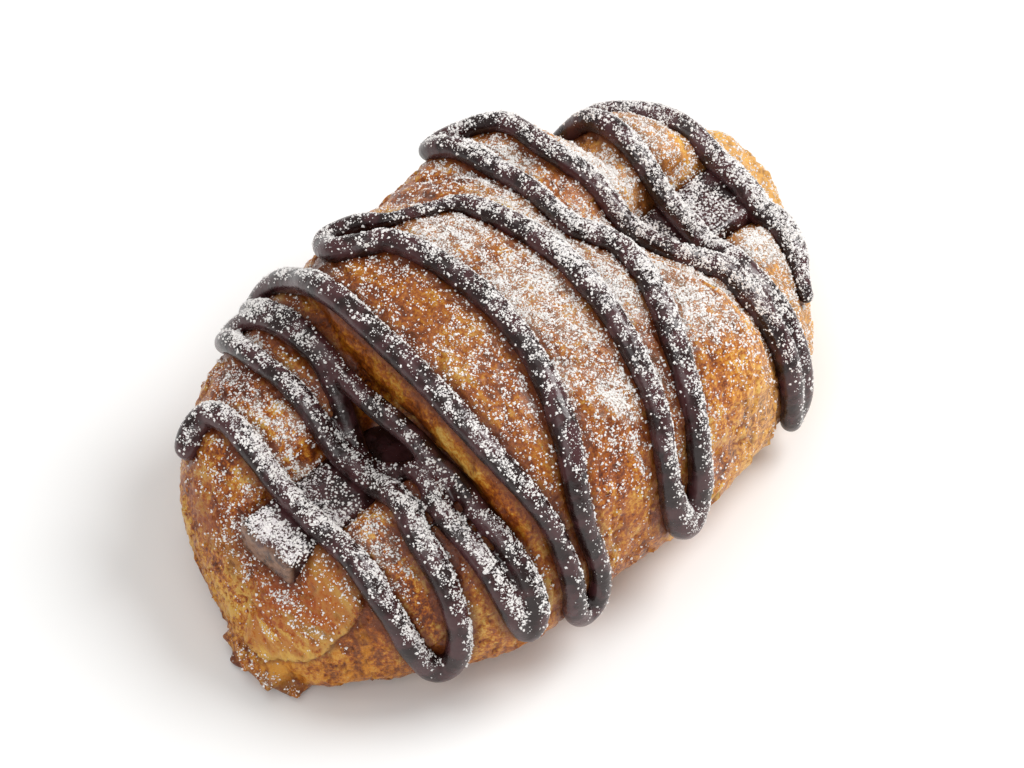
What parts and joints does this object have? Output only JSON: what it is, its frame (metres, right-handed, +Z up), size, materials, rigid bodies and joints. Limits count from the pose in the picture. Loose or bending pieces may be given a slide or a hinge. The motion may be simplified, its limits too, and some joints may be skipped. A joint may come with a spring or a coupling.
{
  "type": "chocolate croissant",
  "caption": "Folded laminated pastry around a long chocolate baton that shows at both ends, with thick chocolate striped back and forth over the top.",
  "frame": {"origin": "middle of the base that the pastry rests on", "axes": "+X along the baton to the far end, +Y to the back, +Z up from the base"},
  "size_m": [0.127, 0.0776, 0.0514],
  "materials": {
    "crust": "baked golden crust with dark chocolate stripes and icing sugar",
    "baton": "satin dark chocolate"
  },
  "bodies": {
    "root": {"croissant": "crust", "chocolate_baton": "baton"}
  },
  "joints": []
}
